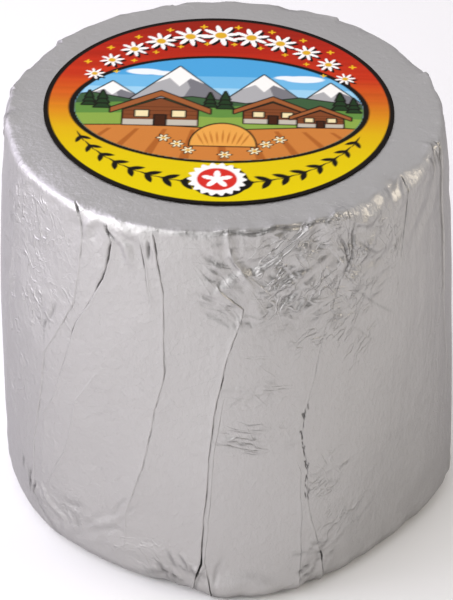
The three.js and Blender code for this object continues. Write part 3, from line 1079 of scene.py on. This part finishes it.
fill(below((-40, -4), (-20, -3), (0, -4.5), (20, -3), (40, -4.5)), "#86a346")
fill(below((-40, -9), (-16, -8), (4, -9.5), (24, -7.5), (40, -9)), "#c67b38", outlined=True)
FURROWS = 9
FURROW_STEP = 6
for furrow in range(FURROWS):
    far_x = (furrow - FURROWS // 2) * FURROW_STEP
    furrow_shape = polygon((far_x, -9), (far_x + 0.9, -9), (far_x * 1.5 + 2.4, -24), (far_x * 1.5, -24))
    fill(np.minimum(furrow_shape, -9.6 - y), "#a95f26")
print(len(PEAKS), "peaks and", FURROWS, "furrows")

# %% Trees and huts
TREES = [(-29, 0, 5), (-26, -1, 6), (-2, 0, 5), (1.4, -0.6, 6), (27, 0, 6), (30, -1, 5)]  # foot, size
TIERS = 3
PLANKS = 5
HUTS = [(-13, -8, 8.2), (12, -6.5, 6.4), (22.5, -7.5, 5.0)]  # middle, ground, half width
for tree_x, tree_y, tree_size in TREES:
    for tier in range(TIERS):
        base_y = tree_y + tier * tree_size * 0.32
        half = tree_size * (0.3 - 0.07 * tier)
        tree = polygon((tree_x - half, base_y), (tree_x, base_y + tree_size * 0.55), (tree_x + half, base_y))
        fill(tree, "#22391f", outlined=True)


def hut(hut_x, ground, half):
    eaves = ground + half * 0.75
    wall = polygon(
        (hut_x - half, ground), (hut_x + half, ground), (hut_x + half, eaves),
        (hut_x, ground + half * 1.35), (hut_x - half, eaves),
    )
    fill(wall, "#7d4525", outlined=True)
    for plank in range(PLANKS):
        plank_y = ground + half * (0.12 + 0.2 * plank)
        fill(np.minimum(wall, 0.12 - np.abs(y - plank_y)), "#5a2f18")
    fill(np.minimum(wall, ground + half * 0.28 - y), "#bdb6a6")
    for window_x in (hut_x - half * 0.5, hut_x + half * 0.5):
        sill = ground + half * 0.43
        window = block(window_x - half * 0.17, window_x + half * 0.17, sill, sill + half * 0.3)
        fill(window, "#ead9a8", outlined=True)
    door = block(hut_x - half * 0.14, hut_x + half * 0.14, ground, ground + half * 0.5)
    fill(door, "#40200f", outlined=True)
    overhang = half * 1.35
    roof_low = ground + half * 0.62
    roof_high = ground + half * 0.85
    roof = polygon(
        (hut_x - overhang, roof_low), (hut_x, ground + half * 1.5), (hut_x + overhang, roof_low),
        (hut_x + overhang, roof_high), (hut_x, ground + half * 1.75), (hut_x - overhang, roof_high),
    )
    fill(roof, "#9a5a30", outlined=True)


for hut_place in HUTS:
    hut(*hut_place)
print(len(TREES), "trees and", len(HUTS), "huts")

# %% A haystack and flowers
STACK_FOOT = -16
STRAWS = 9
STRAW_STEP = 1.25
BLOOM_SIZE = 1.4
BLOOM_HEART = 0.45
BLOOMS = [(-9, -15.5), (-6.5, -18), (-12, -13.2), (10.5, -15), (8, -17.8), (13.5, -13), (1.5, -19.5)]
stack = np.minimum(oval(1, STACK_FOOT, 7.2, 9), y - STACK_FOOT)
fill(stack, "#e2a04a", outlined=True)
for number in range(STRAWS):
    straw_y = -12.4 - 0.2 * abs(number - STRAWS // 2)
    straw = leaf(-4 + number * STRAW_STEP, straw_y, 2.6, 0.22, 1.9 - number * 0.09)
    fill(np.minimum(straw, stack), "#b9702a")
for bloom_x, bloom_y in BLOOMS:
    fill(flower(bloom_x, bloom_y, BLOOM_SIZE, 6), "#efe4bd", outlined=True)
    fill(oval(bloom_x, bloom_y, BLOOM_HEART, BLOOM_HEART), "#d39a2c")
print("a haystack and", len(BLOOMS), "flowers")

# %% [markdown]
# ## The border
#
# Round the oval run a row of white flowers with a dropped shadow on the red, two leafy sprays on the
# yellow and a scalloped rosette at the front, all set out by their bearing on an arc. The black edge
# comes last.

# %% Flowers on the red
ARC_RADIUS = 31.2
DAISY_STEP = 13  # degrees from flower to flower
DAISY_SIZE = 4.6  # of the middle one
DAISY_SHRINK = 0.45  # each further one is smaller by this
DAISY_PETALS = 8
DAISY_TURN = 0.2
DAISY_HEART = 0.3  # as a share of the flower
SHADOW = (0.55, -0.7)
SPARKS = [(35.2, 0.9), (27.4, 0.75)]  # radius of the arc, size
for step in range(-5, 6):
    daisy_x, daisy_y = on_arc(ARC_RADIUS, step * DAISY_STEP)
    size = DAISY_SIZE - DAISY_SHRINK * abs(step)
    heart = size * DAISY_HEART
    paint(flower(daisy_x + SHADOW[0], daisy_y + SHADOW[1], size, DAISY_PETALS, DAISY_TURN), BLACK)
    paint(flower(daisy_x, daisy_y, size, DAISY_PETALS, DAISY_TURN), "#f6f3ee")
    paint(oval(daisy_x, daisy_y, heart, heart), "#d9a92a")
for step in range(-5, 5):
    for arc_radius, size in SPARKS:
        paint(flower(*on_arc(arc_radius, (step + 0.5) * DAISY_STEP), size, 4), "#e8b820")
print("flowers set", DAISY_STEP, "degrees apart")

# %% Sprays on the yellow
SPRAY_LEAVES = 8
SPRAY_START, SPRAY_STEP = 14, 7.5  # degrees from the front
LEAF_LEAN = 0.75
LEAF_SIZE = 2.7  # of the leaves nearest the front
LEAF_SHRINK = 0.12  # each further pair is smaller by this
SPRAY_SPREAD = 0.25  # and further out by this
for side in (-1, 1):
    for number in range(SPRAY_LEAVES):
        spray_turn = 180 + side * (SPRAY_START + number * SPRAY_STEP)
        stem_x, stem_y = on_arc(ARC_RADIUS + SPRAY_SPREAD * number, spray_turn)
        along_arc = math.radians(180 - spray_turn)
        size = LEAF_SIZE - LEAF_SHRINK * number
        forward = side * 0.5 * size
        for lean in (-LEAF_LEAN, LEAF_LEAN):
            aside = 0.55 * size * lean
            leaf_x = stem_x + forward * math.cos(along_arc) - aside * math.sin(along_arc)
            leaf_y = stem_y + aside * math.cos(along_arc) + forward * math.sin(along_arc)
            paint(leaf(leaf_x, leaf_y, size * 0.85, size * 0.3, along_arc + side * lean), BLACK)
        paint(leaf(stem_x, stem_y, 2.4, 0.25, along_arc), BLACK)
print("two sprays of", 2 * SPRAY_LEAVES, "leaves")

# %% The rosette and the black edge
ROSETTE_Y = -29.3
ROSETTE_RADIUS = 6.0
SHADOW_RADIUS = 6.3
DISC_RADIUS = 4.3
SCALLOPS = 18
SCALLOP_DEPTH = 0.45
BORDER = 1.15
rosette_away = np.hypot(x, y - ROSETTE_Y)
scallops = SCALLOP_DEPTH * np.cos(SCALLOPS * np.arctan2(y - ROSETTE_Y, x))
paint(SHADOW_RADIUS - np.hypot(x - SHADOW[0], y - ROSETTE_Y - SHADOW[1]), BLACK)
paint(ROSETTE_RADIUS + scallops - rosette_away, "#f4f1ec")
paint(DISC_RADIUS - rosette_away, "#cf2f26")
paint(flower(0, ROSETTE_Y, 3.4, 5, 0.31), "#f4f1ec")
paint(np.hypot(x, y) - (label_radius - BORDER), BLACK)
print("a rosette of", SCALLOPS, "scallops")

# %% [markdown]
# ## The printed paper
#
# The paper is coated and printed, so its colours are clean, and it has hardly any gloss. An image could
# carry the print, but ink as a colour on each point of the mesh needs no picture file and stays with the
# piece. Glued paper is never quite flat, so the sheet swells a little between its
# edges.

# %% Place the label and give it its ink
PAPER_SWELL = 0.05
PAPER_SWELL_SIZE = 14
PAPER_EDGE = 6  # the swelling fades out over this distance from the edge
away_from_edge = ramp(-np.hypot(x, y), -label_radius, -label_radius + PAPER_EDGE)
paper_swell = swells(label_turns, y, PAPER_SWELL_SIZE, PAPER_SWELL_SIZE, 95)
spots[:, 2] += PAPER_SWELL * paper_swell * away_from_edge
spots = (spots + np.array([label_middle.x, label_middle.y, label_high.z]) / MM) * MM
sheet_mesh.vertices.foreach_set("co", spots.ravel())
dots = sheet_mesh.color_attributes.new("ink", "FLOAT_COLOR", "POINT")
dots.data.foreach_set("color", np.concatenate([ink, np.ones((len(ink), 1))], axis=1).ravel())
sheet_mesh.update()
printed_label = bpy.data.objects.new("printed_label", sheet_mesh)
bpy.context.scene.collection.objects.link(printed_label)
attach(printed_label, "root")
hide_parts("paper_label")
print("the label is", in_mm(printed_label.dimensions), "mm")

# %% The paper's finish
TOOTH_SIZE = 0.65 * MM  # real paper fibres are under 0.1 mm, so they are drawn coarser to show
TOOTH_BUMP = 0.03 * MM
# Clean flat colours with a faint tooth, and so little gloss that they stay full under the lamps
paper, paper_shader = new_material("printed coated paper", {"Roughness": 0.5, "Specular IOR Level": 0.03})
ink_value = add_node(paper, "ShaderNodeAttribute", {"attribute_name": "ink"})
paper_place = add_node(paper, "ShaderNodeTexCoord")
tooth = add_node(
    paper, "ShaderNodeTexNoise", {"Scale": 1 / TOOTH_SIZE, "Detail": 2},
    {"Vector": paper_place.outputs["Object"]},
)
tooth_bump = add_node(
    paper, "ShaderNodeBump", {"Strength": 1, "Distance": TOOTH_BUMP}, {"Height": tooth.outputs["Fac"]},
)
paper.node_tree.links.new(tooth_bump.outputs["Normal"], paper_shader.inputs["Normal"])
paper.node_tree.links.new(ink_value.outputs["Color"], paper_shader.inputs["Base Color"])
sheet_mesh.materials.append(paper)
print("the paper's finish has", len(paper.node_tree.nodes), "nodes")

# %% [markdown]
# ## The studio
#
# Foil shows what it mirrors, so the light is most of its look. Large dim softboxes at the left and in
# front give the broad pale bands, a small warm fill picks out the rim at the right, and the room is
# darker behind the camera, which gives the side its soft fall of grey. The floor is pale and matt and
# lights the foil from below.

# %% The floor
FLOOR_HALF = 3
floor_mesh = bpy.data.meshes.new("floor")
floor_shape = bmesh.new()
bmesh.ops.create_grid(floor_shape, x_segments=1, y_segments=1, size=FLOOR_HALF)
floor_shape.to_mesh(floor_mesh)
floor_shape.free()
floor = bpy.data.objects.new("floor", floor_mesh)
bpy.context.scene.collection.objects.link(floor)
# Matt white card, with no gloss of its own
floor_material = new_material("pale matt floor", {"Base Color": linear("#f4f3f2"), "Roughness": 0.9})[0]
floor_mesh.materials.append(floor_material)
print("the floor is", 2 * FLOOR_HALF, "m wide")

# %% The room
DARK_SIDE = (0.1, -0.93, 0.34)  # the direction in which the room is darkest
ROOM_SHADES = [(0.3, "#f0eff2"), (0.6, "#d8d6d8"), (0.95, "#3a3938")]
world = bpy.data.worlds.new("studio")
world.use_nodes = True
direction = add_node(world, "ShaderNodeTexCoord")
facing = add_node(
    world, "ShaderNodeVectorMath", {"operation": "DOT_PRODUCT", 1: DARK_SIDE},
    {0: direction.outputs["Generated"]},
)
spread = add_node(world, "ShaderNodeMapRange", {"From Min": -1}, {"Value": facing.outputs["Value"]})
shade = add_node(world, "ShaderNodeValToRGB", {}, {"Fac": spread.outputs["Result"]})
shade.color_ramp.elements.new(0.5)
for stop, (position, colour) in zip(shade.color_ramp.elements, ROOM_SHADES):
    stop.position = position
    stop.color = linear(colour)
world.node_tree.links.new(shade.outputs["Color"], world.node_tree.nodes["Background"].inputs["Color"])
bpy.context.scene.world = world
print("the room has", len(shade.color_ramp.elements), "shades")

# %% The lamps
LAMPS = [
    # name, place, width and height, power, colour
    ("left softbox", (-0.8, -0.4, 0.6), (1.4, 1.4), 7.2, "#fbfbff"),
    ("low left softbox", (-0.5, 0.1, 0.28), (0.8, 0.85), 2.5, "#ece6ff"),
    ("front card", (-0.5, -0.5, 0.22), (1.3, 0.7), 2.9, "#fdfdff"),
    ("right fill", (0.6, -0.2, 0.4), (0.26, 0.26), 0.9, "#fff4e0"),
    ("overhead softbox", (-0.1, -0.6, 0.85), (0.8, 0.45), 1.2, "#ffffff"),
]
LOOK_AT = Vector((0, 0, 0.05))
for name, lamp_place, lamp_size, power, colour in LAMPS:
    light = bpy.data.lights.new(name, "AREA")
    light.shape = "RECTANGLE"
    light.size, light.size_y = lamp_size
    light.energy = power
    light.color = linear(colour)[:3]
    lamp = bpy.data.objects.new(name, light)
    lamp.location = lamp_place
    lamp.rotation_mode = "QUATERNION"
    lamp.rotation_quaternion = (LOOK_AT - lamp.location).to_track_quat("-Z", "Y")
    bpy.context.scene.collection.objects.link(lamp)
print(len(LAMPS), "lamps of", round(sum(power for *rest, power, colour in LAMPS), 1), "watts")

# %% [markdown]
# ## The camera
#
# The view is from above the front, with a long lens, so the side hardly narrows towards the foot. The
# angle, the distance and a slight roll were fitted to the outline of the label and of the foot.

# %% A long lens from above
CAMERA_HEIGHT_ANGLE = math.radians(35.35)
CAMERA_ROLL = math.radians(1.32)
CAMERA_DISTANCE = 0.735
CAMERA_TARGET = Vector((-0.64, 0, 47.7)) * MM
towards_camera = Vector((0, -math.cos(CAMERA_HEIGHT_ANGLE), math.sin(CAMERA_HEIGHT_ANGLE)))
lens = bpy.data.cameras.new("camera")
lens.sensor_width = 36
lens.lens = 190
camera = bpy.data.objects.new("camera", lens)
camera.location = CAMERA_TARGET + towards_camera * CAMERA_DISTANCE
camera.rotation_mode = "QUATERNION"
camera.rotation_quaternion = (-towards_camera).to_track_quat("-Z", "Y") @ Quaternion((0, 0, 1), CAMERA_ROLL)
bpy.context.scene.collection.objects.link(camera)
bpy.context.scene.camera = camera
bpy.context.scene.view_settings.view_transform = "Standard"
print("the camera stands at", in_mm(camera.location), "mm")
